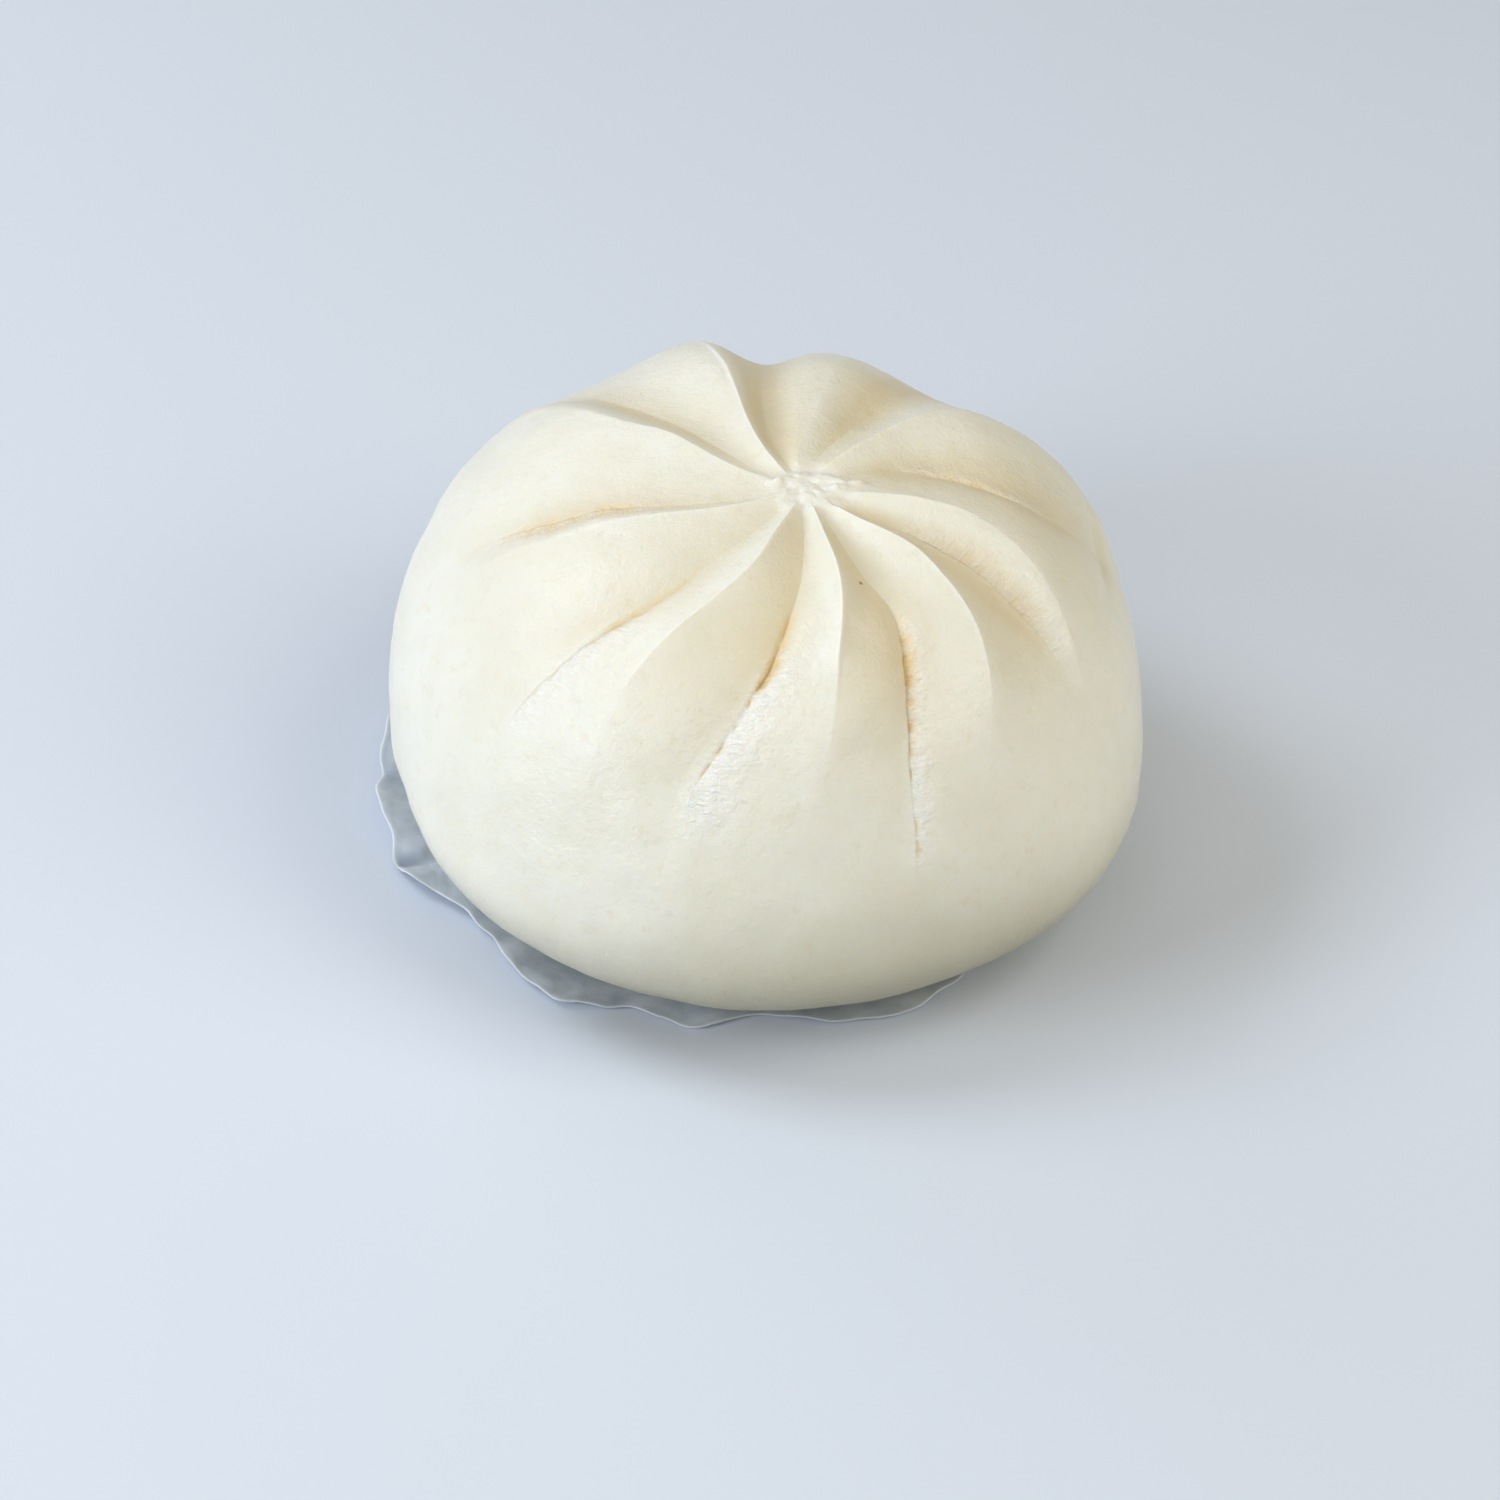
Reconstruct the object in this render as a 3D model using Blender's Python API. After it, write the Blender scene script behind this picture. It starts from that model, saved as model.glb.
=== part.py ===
"""Steamed bun of pleated wheat dough, gathered at the top, standing on its round liner of waxed paper.

The dough is one solid: a low dome with a small flat foot, whose skin is gathered into nine uneven pleats.
Each pleat has a crease, a short face that rises from it, a pinched crest, and a puffed panel that falls
to the next crease. Creases and crests are curves down the dome, so the mesh is laid out along them.
The liner is one thin sheet, flat under the bun, with a wavy edge that lifts a little where it stands out.

Units are metres, +Z is up, the front of the bun faces -Y, and bearings are degrees from +X, anticlockwise
seen from above. The origin ends up at the middle of the base of the whole.
"""

import math

import bmesh
import bpy
import numpy as np

# ---------------------------------------------------------------- dome
BELLY_RADIUS = 0.0557  # largest mean radius of the dough
CROWN_HEIGHT = 0.0655  # top of the unpleated dome above the dough's foot
BELLY_HEIGHT = 0.0210  # height of the widest place above the foot
CROWN_POWER = 2.5  # how square-shouldered the upper half is (2 is an ellipse)
UNDER_POWER = 2.1  # the same for the half that turns in under the belly
UNDER_DEPTH = 0.0228  # half height of that under curve, which the flat foot cuts off
CROWN_LEAN = (0.0054, 0.0034)  # how far the tip sits off the foot's middle, in X and Y
MID_LEAN = (-0.0022, 0.0055)  # how far the shoulders bulge off that line
OVAL = (0.041, -40.5)  # two-lobed unevenness of the girth: share of the radius, bearing
TRILOBE = (0.025, -4.0)  # three-lobed unevenness

# ---------------------------------------------------------------- pleats
STATIONS = (5.0, 12.0, 20.0, 28.0, 36.0, 46.0, 58.0)  # distances down the skin from the tip, mm, where bearings are given
# name: bearings of the crease at the stations, bearings of the crest at the stations, fold height mm,
#       between which distances the fold fades out mm, the share of the fold below the dome low down,
#       from where the valley is a sharp crease on its face side and on its panel side mm,
#       between which distances the crest turns from sharp to round mm, where the cut starts and ends mm, its depth mm
PLEATS = {
    "front": ((-92, -89, -89, -91.2, -93, -96.3, -101), (-79, -77, -75, -76, -78, -79, -80), 3.4, (44, 72), 0.56, 24, 26, (32, 50), (26, 42), 0.55),
    "front_right": ((-68, -66, -64, -60.5, -61.6, -63.8, -65), (-56, -48, -42, -43, -44.5, -48, -52), 3.2, (44, 74), 0.56, 27, 28, (32, 52), (29, 52), 0.45),
    "right": ((-38, -33, -29, -28.5, -30, -31, -31), (-22, -13, -12, -15.5, -21, -26, -29), 3.2, (36, 60), 0.56, 20, 60, (12, 30), (22, 44), 0.12),
    "right_back": ((28, 25, 17, 8, 2, 1, 3), (52, 48.5, 46.5, 44, 38, 28, 20), 3.0, (48, 82), 0.16, 60, 18, (12, 30), (19, 31), 0.45),
    "back": ((78, 69, 64, 61, 58, 53, 48), (103, 89, 83.5, 80.5, 78.5, 76, 74), 3.3, (46, 84), 0.10, 60, 60, (4, 16), (12, 50), 0.0),
    "back_left": ((119, 112, 106, 101, 97, 93, 90), (136, 125, 116, 111, 109, 107, 105), 3.8, (46, 84), 0.34, 60, 60, (16, 30), (12, 50), 0.0),
    "left_back": ((158, 147, 139.5, 137.5, 136, 132.5, 129), (174, 161, 150.5, 148.5, 146, 143, 141), 2.2, (38, 66), 0.56, 60, 60, (20, 40), (14, 46), 0.0),
    "left": ((208, 200, 193, 188, 187, 185.5, 184), (219, 211, 203, 198, 196, 193, 191), 1.7, (36, 60), 0.56, 60, 60, (12, 32), (22, 42), 0.12),
    "front_left": ((240, 237, 233, 232, 228.6, 225.7, 224), (256, 253, 252, 247, 243, 241, 241), 2.9, (42, 66), 0.56, 25, 26, (32, 52), (26, 41), 0.35),
}
GATHER_START = 2.5  # mm from the tip where the folds begin
GATHER_FULL = 22.0  # mm from the tip where they have their full height
CREASE_SHARE = 0.56  # share of a fold that lies below the unpleated dome near the tip
BUTTON_RADIUS = 5.0  # mm, small sunken knot of dough where all pleats meet
BUTTON_SINK = 0.9  # mm
LEDGE = (49.5, 3.0, 0.9, 2.6, 7.0)  # shallow ledge at the right: distance mm, bearing, depth mm, half sizes mm

# ---------------------------------------------------------------- paper liner
PAPER_CENTRE = (-0.0055, 0.0090)  # the bun doesn't stand in the middle of its liner
# The liner's uneven edge: bearing about its own middle and radius mm, joined by a smooth closed curve.
PAPER_EDGE = (
    (-60, 53.6), (-40, 51.5), (-18, 49.5), (5, 50.5), (28, 49.0), (52, 50.5), (78, 49.0), (102, 50.5), (126, 50.0), (148, 52.0),
    (168, 53.4), (184, 52.2), (196, 51.1), (203, 51.8), (212, 48.0), (222, 46.5), (233, 49.4), (244, 51.4), (256, 48.0), (266, 50.2),
    (276, 47.6), (288, 50.7),
)
PAPER_THICKNESS = 0.0005
PAPER_FLAT_RADIUS = 0.0345  # flat part, measured from the bun's middle
PAPER_LIFT = 0.0030  # how far the free edge stands up
GAP = 0.0003  # clearance between dough and paper

# ---------------------------------------------------------------- mesh density
FACE_STEPS = (0.0, 0.14, 0.42, 0.76)  # columns from a crease to its crest
PANEL_STEPS = (0.0, 0.07, 0.25, 0.48, 0.71, 0.91)  # columns from a crest to the next crease
RINGS_MM = (1.8, 3.4, 5.2, 7.5, 10, 13, 16, 19, 22, 25, 28, 31.5, 35, 38.5, 42, 46, 50, 54, 58, 62, 66, 70, 74, 78, 81.5, 85, 88.5, 92)
PAPER_COLUMNS = 108
PAPER_RINGS = (0.30, 0.56, 0.72, 0.82, 0.90, 0.955, 1.0)


def smooth(x, low, high):
    """0 below low, 1 above high, and an S-curve between."""
    t = np.clip((np.asarray(x, float) - low) / (high - low), 0.0, 1.0)
    return t * t * (3.0 - 2.0 * t)


def bearing_at(bearings, s):
    """Bearing of a crease or crest at s mm from the tip: a smooth cubic through the stations, level beyond them."""
    knots = np.array(STATIONS)
    values = np.array(bearings, float)
    slopes = np.gradient(values, knots)
    slopes[-1] = 0.0
    s = np.clip(s, knots[0], knots[-1])
    i = np.clip(np.searchsorted(knots, s, side="right") - 1, 0, len(knots) - 2)
    span = knots[i + 1] - knots[i]
    t = (s - knots[i]) / span
    return (
        (2 * t**3 - 3 * t**2 + 1) * values[i]
        + (t**3 - 2 * t**2 + t) * span * slopes[i]
        + (3 * t**2 - 2 * t**3) * values[i + 1]
        + (t**3 - t**2) * span * slopes[i + 1]
    )


def half_profile():
    """Mean profile of the dome from the tip to the rim of the foot: distance down the skin mm, angle parameter."""
    angle = np.linspace(0.0, math.pi, 4001)
    radius, height = profile(angle)
    distance = np.concatenate([[0.0], np.cumsum(np.hypot(np.diff(radius), np.diff(height)))]) * 1000.0
    above_foot = (height > 0.0) | (angle < math.pi / 2)
    return distance[above_foot], angle[above_foot]


def profile(angle):
    """Mean radius and height at an angle parameter: 0 at the tip, pi/2 at the belly."""
    upper = angle < math.pi / 2
    power = np.where(upper, CROWN_POWER, UNDER_POWER)
    across = np.abs(np.sin(angle)) ** (2.0 / power)
    up = np.abs(np.cos(angle)) ** (2.0 / power)
    height = np.where(upper, BELLY_HEIGHT + (CROWN_HEIGHT - BELLY_HEIGHT) * up, BELLY_HEIGHT - UNDER_DEPTH * up)
    return BELLY_RADIUS * across, height


DISTANCES, ANGLES = half_profile()
FOOT_DISTANCE = float(DISTANCES[-1])


def dome(s, bearing):
    """Point of the unpleated dome at s mm down the skin from the tip, at a bearing in degrees."""
    angle = np.interp(s, DISTANCES, ANGLES)
    radius, height = profile(angle)
    turn = np.radians(bearing)
    share = np.clip(height / CROWN_HEIGHT, 0.0, 1.0)
    lean = share * share
    bulge = 6.75 * share * share * (1.0 - share)
    radius = radius * (
        1.0
        + OVAL[0] * np.cos(2.0 * (turn - math.radians(OVAL[1])))
        + TRILOBE[0] * np.cos(3.0 * (turn - math.radians(TRILOBE[1])))
    )
    x = radius * np.cos(turn) + CROWN_LEAN[0] * lean + MID_LEAN[0] * bulge
    y = radius * np.sin(turn) + CROWN_LEAN[1] * lean + MID_LEAN[1] * bulge
    return np.stack([x, y, height], axis=-1)


def outward(s, bearing):
    """Unit normal of the unpleated dome, pointing out."""
    down = dome(s + 0.2, bearing) - dome(np.maximum(s - 0.2, 0.0), bearing)
    along = dome(s, bearing + 0.5) - dome(s, bearing - 0.5)
    normal = np.cross(down, along)
    return normal / np.linalg.norm(normal, axis=-1, keepdims=True)


def fold_height(pleat, s):
    """Full height of a pleat, crease to crest, at s mm from the tip."""
    rise = np.clip((s - GATHER_START) / (GATHER_FULL - GATHER_START), 0.0, 1.0) ** 0.6
    return pleat[2] * rise * (1.0 - smooth(s, *pleat[3]))


def below_dome(pleat, s):
    """Share of the fold that lies below the unpleated dome."""
    return CREASE_SHARE + (pleat[4] - CREASE_SHARE) * smooth(s, 18.0, 36.0)


def crease_cut(pleat, s):
    """Depth of the cut-like line at the bottom of a crease."""
    start, end = pleat[8]
    return pleat[9] * smooth(s, start - 4.0, start + 4.0) * (1.0 - smooth(s, end - 5.0, end + 5.0))


def fold_column(names, index, part, t, s):
    """Bearing and relief in mm of one column, a share t along the face or the panel of a pleat."""
    here, after = PLEATS[names[index]], PLEATS[names[(index + 1) % len(names)]]
    crease, crest = bearing_at(here[0], s), bearing_at(here[1], s)
    following = bearing_at(after[0], s)
    following = following + 360.0 * np.round(np.where(following < crest - 1.0, np.ceil((crest - following) / 360.0), 0.0))
    high, low = fold_height(here, s), fold_height(after, s)
    keen = 1.0 - smooth(s, *here[7])
    bend, ease, stop = 3 * t**2 - 2 * t**3, t**3 - 2 * t**2 + t, t**3 - t**2
    if part == "face":
        bearing = crease + t * (crest - crease)
        sharp = smooth(s, here[5] - 7.0, here[5] + 6.0)
        shape = bend + (0.15 + 1.75 * sharp) * ease + (0.25 + 1.35 * keen) * stop
        relief = high * (shape - below_dome(here, s))
        if t == 0.0:
            relief = relief - crease_cut(here, s)
    else:
        bearing = crest + t * (following - crest)
        sharp = smooth(s, after[6] - 7.0, after[6] + 6.0)
        blend = float(smooth(t, 0.0, 1.0))
        size = high + (low - high) * blend
        below = below_dome(here, s) + (below_dome(after, s) - below_dome(here, s)) * blend
        shape = 1.0 - (bend + (0.25 + 1.35 * keen) * ease + (0.15 + 1.55 * sharp) * stop)
        relief = size * (shape - below)
    sink = BUTTON_SINK * (1.0 - smooth(s, BUTTON_RADIUS * 0.3, BUTTON_RADIUS * 1.3))
    place, turn, depth, along, across = LEDGE
    aside = np.radians((bearing - turn + 180.0) % 360.0 - 180.0) * 50.0
    ledge = depth * np.exp(-(((s - place) / along) ** 2 + (aside / across) ** 2))
    return bearing, relief - sink - ledge


def dough_points():
    """Rings of points from the tip to the rim of the foot: an array of rings, columns, 3."""
    names = list(PLEATS)
    rings = [s for s in RINGS_MM if s < FOOT_DISTANCE - 4.0]
    left = FOOT_DISTANCE - rings[-1]
    rings += [rings[-1] + left * share for share in (0.20, 0.42, 0.64, 0.84, 1.0)]
    s = np.array(rings)
    columns = []
    for index in range(len(names)):
        for part, steps in (("face", FACE_STEPS), ("panel", PANEL_STEPS)):
            for t in steps:
                bearing, relief = fold_column(names, index, part, t, s)
                point = dome(s, bearing) + outward(s, bearing) * (relief * 0.001)[:, None]
                columns.append(point)
    points = np.stack(columns, axis=1)
    points[-1, :, 2] = 0.0
    return points


def principled(name, colour, roughness, metallic=0.0):
    material = bpy.data.materials.new(name)
    material.use_nodes = True
    shader = material.node_tree.nodes["Principled BSDF"]
    shader.inputs["Base Color"].default_value = (*colour, 1.0)
    shader.inputs["Roughness"].default_value = roughness
    shader.inputs["Metallic"].default_value = metallic
    material.diffuse_color = (*colour, 1.0)
    return material


def add_object(name, bm, material):
    bmesh.ops.recalc_face_normals(bm, faces=bm.faces)
    mesh = bpy.data.meshes.new(name)
    bm.to_mesh(mesh)
    bm.free()
    mesh.materials.append(material)
    mesh.shade_smooth()
    obj = bpy.data.objects.new(name, mesh)
    bpy.context.scene.collection.objects.link(obj)
    return obj


def skin(bm, rings, top, bottom):
    """Closes stacked rings of vertices with quads, a fan at the top point and a fan at the bottom point."""
    count = len(rings[0])
    for j in range(count):
        k = (j + 1) % count
        bm.faces.new((top, rings[0][j], rings[0][k]))
        for upper, lower in zip(rings, rings[1:]):
            bm.faces.new((upper[j], lower[j], lower[k], upper[k]))
        bm.faces.new((bottom, rings[-1][k], rings[-1][j]))


def paper_outline(bearing):
    """Radius of the liner in metres at a bearing about its own middle: a closed smooth curve through its edge points."""
    knots = np.array([place for place, _ in PAPER_EDGE], float)
    radii = np.array([radius for _, radius in PAPER_EDGE], float)
    knots = np.concatenate([knots - 360.0, knots, knots + 360.0])
    radii = np.concatenate([radii, radii, radii])
    slopes = np.gradient(radii, knots)
    i = np.clip(np.searchsorted(knots, bearing, side="right") - 1, 0, len(knots) - 2)
    span = knots[i + 1] - knots[i]
    t = (bearing - knots[i]) / span
    return 0.001 * (
        (2 * t**3 - 3 * t**2 + 1) * radii[i]
        + (t**3 - 2 * t**2 + t) * span * slopes[i]
        + (3 * t**2 - 2 * t**3) * radii[i + 1]
        + (t**3 - t**2) * span * slopes[i + 1]
    )


def paper_sheet():
    """Underside of the liner: an array of rings, columns, 3."""
    bearing = np.arange(PAPER_COLUMNS) * 360.0 / PAPER_COLUMNS
    edge = paper_outline(bearing)
    sheet = []
    for share in PAPER_RINGS:
        x = PAPER_CENTRE[0] + share * edge * np.cos(np.radians(bearing))
        y = PAPER_CENTRE[1] + share * edge * np.sin(np.radians(bearing))
        off = np.clip((np.hypot(x, y) - PAPER_FLAT_RADIUS) / 0.022, 0.0, 1.2)
        ripple = 1.0 + 0.45 * np.cos(np.radians(bearing * 7.0 + 40.0)) + 0.30 * np.cos(np.radians(bearing * 13.0))
        z = PAPER_LIFT * off**1.6 * ripple
        sheet.append(np.stack([x, y, z], axis=-1))
    return np.array(sheet)


def main():
    for obj in list(bpy.data.objects):
        bpy.data.objects.remove(obj, do_unlink=True)

    dough = dough_points() + np.array([0.0, 0.0, PAPER_THICKNESS + GAP])
    sheet = paper_sheet()
    both = np.concatenate([dough.reshape(-1, 3), sheet.reshape(-1, 3)])
    middle = (both.min(axis=0) + both.max(axis=0)) / 2.0
    shift = np.array([-middle[0], -middle[1], 0.0])
    dough, sheet = dough + shift, sheet + shift

    bm = bmesh.new()
    rings = [[bm.verts.new(p) for p in ring] for ring in dough]
    tip = dome(np.array([0.0]), np.array([0.0]))[0] + shift
    tip[2] = dough[0, :, 2].mean() + 0.0001
    foot = dough[-1].mean(axis=0)
    inner = [bm.verts.new(foot + (p - foot) * 0.5) for p in dough[-1]]
    skin(bm, rings + [inner], bm.verts.new(tip), bm.verts.new(foot))
    add_object("bun", bm, principled("dough", (0.83, 0.80, 0.67), 0.45))

    bm = bmesh.new()
    low = [[bm.verts.new(p) for p in ring] for ring in sheet]
    high = [[bm.verts.new(p + np.array([0.0, 0.0, PAPER_THICKNESS])) for p in ring] for ring in sheet]
    centre = np.array([PAPER_CENTRE[0] + shift[0], PAPER_CENTRE[1] + shift[1], 0.0])
    skin(bm, high + low[::-1], bm.verts.new(centre + np.array([0.0, 0.0, PAPER_THICKNESS])), bm.verts.new(centre))
    add_object("paper_liner", bm, principled("waxed_paper", (0.55, 0.62, 0.68), 0.35))


main()
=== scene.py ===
"""Looks of the steamed bun: its fine pleated skin, its crinkled waxed-paper liner, a pale floor and soft light.

Lengths inside the shape functions are millimetres, measured in the bun's own frame: the middle of its foot is
the origin, +Z is up and -Y is its front. s is the distance down the skin from the gathered tip. Bearings are
degrees from +X, anticlockwise seen from above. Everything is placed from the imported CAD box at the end.
"""

import math

import bpy
import numpy as np
from mathutils import Matrix, Vector


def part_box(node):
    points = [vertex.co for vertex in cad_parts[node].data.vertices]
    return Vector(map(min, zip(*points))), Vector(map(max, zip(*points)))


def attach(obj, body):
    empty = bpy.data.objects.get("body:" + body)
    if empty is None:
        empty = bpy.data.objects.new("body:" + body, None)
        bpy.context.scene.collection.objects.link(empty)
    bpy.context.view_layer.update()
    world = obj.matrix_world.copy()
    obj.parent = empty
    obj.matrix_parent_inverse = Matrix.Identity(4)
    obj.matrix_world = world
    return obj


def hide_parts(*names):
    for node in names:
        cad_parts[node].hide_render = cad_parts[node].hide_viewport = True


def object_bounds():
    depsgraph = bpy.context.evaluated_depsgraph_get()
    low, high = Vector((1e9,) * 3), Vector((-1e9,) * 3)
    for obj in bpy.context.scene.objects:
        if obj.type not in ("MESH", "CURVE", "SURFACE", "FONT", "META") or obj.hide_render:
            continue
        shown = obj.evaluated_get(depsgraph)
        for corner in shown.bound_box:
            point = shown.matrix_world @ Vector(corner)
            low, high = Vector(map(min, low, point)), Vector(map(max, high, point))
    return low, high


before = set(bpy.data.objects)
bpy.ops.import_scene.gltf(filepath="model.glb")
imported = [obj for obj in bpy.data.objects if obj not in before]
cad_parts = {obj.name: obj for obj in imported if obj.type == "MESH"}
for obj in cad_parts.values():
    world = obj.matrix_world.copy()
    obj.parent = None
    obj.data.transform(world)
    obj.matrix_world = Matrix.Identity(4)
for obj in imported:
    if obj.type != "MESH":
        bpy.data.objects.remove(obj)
cad_low, cad_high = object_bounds()
bun_low, bun_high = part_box("bun")
paper_low, paper_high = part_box("paper_liner")

# The foot's middle, from the low corner of the CAD solid's box, in metres.
FOOT_FROM_CORNER = np.array([0.0552372, 0.0523468, 0.0])
FOOT = np.array(bun_low) + FOOT_FROM_CORNER

# ------------------------------------------------------------------ dome, mm
BELLY_RADIUS = 55.7
CROWN_HEIGHT = 65.5
BELLY_HEIGHT = 21.0
CROWN_POWER = 2.5
UNDER_POWER = 2.1
UNDER_DEPTH = 22.8
CROWN_LEAN = (5.4, 3.4)
MID_LEAN = (-2.2, 5.5)
OVAL = (0.041, -40.5)
TRILOBE = (0.025, -4.0)

# ------------------------------------------------------------------ pleats
STATIONS = np.array([5.0, 12.0, 20.0, 28.0, 36.0, 46.0, 58.0])
# Each pleat, going round anticlockwise from the front: bearings of the crease and of the crest at the stations,
# fold height mm, where it fades out mm, the share of the fold that lies below the dome low down, from where the
# valley is a sharp crease on its face side and on its panel side mm and where it turns soft again, where the crest
# turns from a sharp ridge to a round one mm, the deep cut (start, end, depth mm, half width mm), how much painted
# yellow-brown shade fills the cut, the stretched pitted skin beside it (start, end, how much, width mm), the thin lip
# along the crest mm, which also sets its painted highlight, how much painted yellow shade lies in the valley, and how
# much painted shade lies on the sheltered face and panel.
PLEATS = [
    dict(crease=(-92, -89, -89, -91.2, -93, -96.3, -101), crest=(-79, -77, -75, -76, -78, -79, -80), height=3.5, fade=(44, 72), share=0.56, vee=24, drop=26, heal=(46, 62), ridge=(32, 50), cut=(27, 42, 0.32, 0.85), cut_shade_amount=0.95, pits=(36, 62, 1.0, 5.2), lip=0.17, valley_shade=0.55, shade=(0.0, 0.60)),
    dict(crease=(-68, -66, -64, -60.5, -61.6, -63.8, -65), crest=(-56, -48, -42, -43, -44.5, -48, -52), height=3.2, fade=(44, 74), share=0.56, vee=27, drop=28, heal=(58, 72), ridge=(32, 52), cut=(31, 50, 0.24, 0.95), cut_shade_amount=0.80, pits=(33, 69, 0.85, 2.6), lip=0.15, valley_shade=0.6, shade=(0.0, 0.60)),
    dict(crease=(-38, -33, -29, -28.5, -30, -31, -31), crest=(-22, -13, -12, -15.5, -21, -26, -29), height=3.2, fade=(36, 60), share=0.56, vee=20, drop=60, heal=(40, 54), ridge=(12, 30), cut=(22, 44, 0.10, 1.2), cut_shade_amount=0.20, pits=(16, 52, 0.45, 3.4), lip=0.03, valley_shade=1.0, shade=(0.0, 0.40)),
    dict(crease=(28, 25, 17, 8, 2, 1, 3), crest=(52, 48.5, 46.5, 44, 38, 28, 20), height=3.0, fade=(48, 82), share=0.16, vee=60, drop=18, heal=(30, 40), ridge=(12, 30), cut=(19, 31, 0.50, 0.9), cut_shade_amount=0.60, pits=(17, 36, 0.55, 1.8), lip=0.05, valley_shade=0.85, shade=(0.15, 0.0)),
    dict(crease=(78, 69, 64, 61, 58, 53, 48), crest=(103, 89, 83.5, 80.5, 78.5, 76, 74), height=1.9, fade=(46, 84), share=-0.25, vee=60, drop=60, heal=(40, 52), ridge=(4, 16), cut=(12, 50, 0.0, 1.4), cut_shade_amount=0.0, pits=(12, 50, 0.0, 2.0), lip=0.0, valley_shade=1.0, shade=(0.50, 0.0)),
    dict(crease=(119, 112, 106, 101, 97, 93, 90), crest=(136, 125, 116, 111, 109, 107, 105), height=3.8, fade=(46, 84), share=0.34, vee=60, drop=60, heal=(40, 52), ridge=(16, 30), cut=(12, 50, 0.0, 1.4), cut_shade_amount=0.0, pits=(12, 50, 0.0, 2.0), lip=0.18, valley_shade=1.3, shade=(1.0, 0.0)),
    dict(crease=(158, 147, 139.5, 137.5, 136, 132.5, 129), crest=(174, 161, 150.5, 148.5, 146, 143, 141), height=2.2, fade=(38, 66), share=0.56, vee=60, drop=60, heal=(40, 52), ridge=(20, 40), cut=(14, 46, 0.0, 1.6), cut_shade_amount=0.0, pits=(14, 46, 0.0, 2.0), lip=0.0, valley_shade=0.6, shade=(0.45, 0.0)),
    dict(crease=(208, 200, 193, 188, 187, 185.5, 184), crest=(219, 211, 203, 198, 196, 193, 191), height=1.7, fade=(36, 60), share=0.56, vee=60, drop=60, heal=(40, 52), ridge=(12, 32), cut=(24, 42, 0.12, 2.4), cut_shade_amount=0.40, pits=(22, 46, 0.40, 3.4), lip=0.03, valley_shade=0.9, shade=(0.25, 0.10)),
    dict(crease=(240, 237, 233, 232, 228.6, 225.7, 224), crest=(256, 253, 252, 247, 243, 241, 241), height=2.9, fade=(42, 66), share=0.56, vee=25, drop=26, heal=(40, 54), ridge=(32, 52), cut=(26, 41, 0.22, 0.85), cut_shade_amount=0.60, pits=(35, 58, 0.7, 4.6), lip=0.15, valley_shade=0.5, shade=(0.0, 0.45)),
]
GATHER_START = 3.4
GATHER_FULL = 22.0
CREASE_SHARE = 0.56
BUTTON_RADIUS = 5.0
BUTTON_SINK = 0.9
# The small ledge at the right where the right-back cut runs out: distance mm, bearing, depth mm, half sizes mm.
LEDGE = (52.3, 5.0, 1.3, 1.3, 9.0)
# Tiny brown fleck on the front panel: distance mm, bearing.
FLECK = (22.3, -65.0)
# Shallow soft dents: distance mm, bearing, depth mm, radius mm.
DENTS = ((66.0, -104.0, 0.25, 3.0), (74.0, -84.0, 0.30, 6.0), (70.0, -120.0, 0.22, 5.0), (47.0, 9.0, 0.35, 1.2), (49.5, 1.0, 0.30, 1.0))

# ------------------------------------------------------------------ small helpers


def smooth(x, low, high):
    """0 below low, 1 above high, and an S-curve between."""
    t = np.clip((np.asarray(x, float) - low) / (high - low), 0.0, 1.0)
    return t * t * (3.0 - 2.0 * t)


def window(x, start, end, soft_in, soft_out):
    return smooth(x, start - soft_in, start + soft_in) * (1.0 - smooth(x, end - soft_out, end + soft_out))


def lattice(ix, iy, iz, seed):
    """A fixed random number from -1 to 1 for every whole-number cell corner."""
    n = (ix.astype(np.uint32) * np.uint32(374761393) + iy.astype(np.uint32) * np.uint32(668265263) + iz.astype(np.uint32) * np.uint32(2246822519) + np.uint32(seed) * np.uint32(3266489917)).astype(np.uint32)
    n = (n ^ (n >> np.uint32(13))) * np.uint32(1274126177)
    n = n ^ (n >> np.uint32(16))
    return n.astype(np.float64) / 2147483647.5 - 1.0


def noise(points, size, seed=1, stretch=(1.0, 1.0, 1.0)):
    """Smooth value noise from -1 to 1 whose lumps are about size mm across."""
    p = np.asarray(points, float) / (size * np.asarray(stretch, float)) + 1000.0
    base = np.floor(p).astype(np.int64)
    f = p - base
    f = f * f * f * (f * (f * 6.0 - 15.0) + 10.0)
    total = 0.0
    for dx in (0, 1):
        for dy in (0, 1):
            for dz in (0, 1):
                w = (f[..., 0] if dx else 1 - f[..., 0]) * (f[..., 1] if dy else 1 - f[..., 1]) * (f[..., 2] if dz else 1 - f[..., 2])
                total = total + w * lattice(base[..., 0] + dx, base[..., 1] + dy, base[..., 2] + dz, seed)
    return total


def curve_through(knots, values, x):
    """Smooth cubic through the values at the knots, level beyond them."""
    values = np.asarray(values, float)
    slopes = np.gradient(values, knots)
    slopes[-1] = 0.0
    x = np.clip(x, knots[0], knots[-1])
    i = np.clip(np.searchsorted(knots, x, side="right") - 1, 0, len(knots) - 2)
    span = knots[i + 1] - knots[i]
    t = (x - knots[i]) / span
    return (2 * t**3 - 3 * t**2 + 1) * values[i] + (t**3 - 2 * t**2 + t) * span * slopes[i] + (3 * t**2 - 2 * t**3) * values[i + 1] + (t**3 - t**2) * span * slopes[i + 1]


# ------------------------------------------------------------------ dome functions


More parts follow.
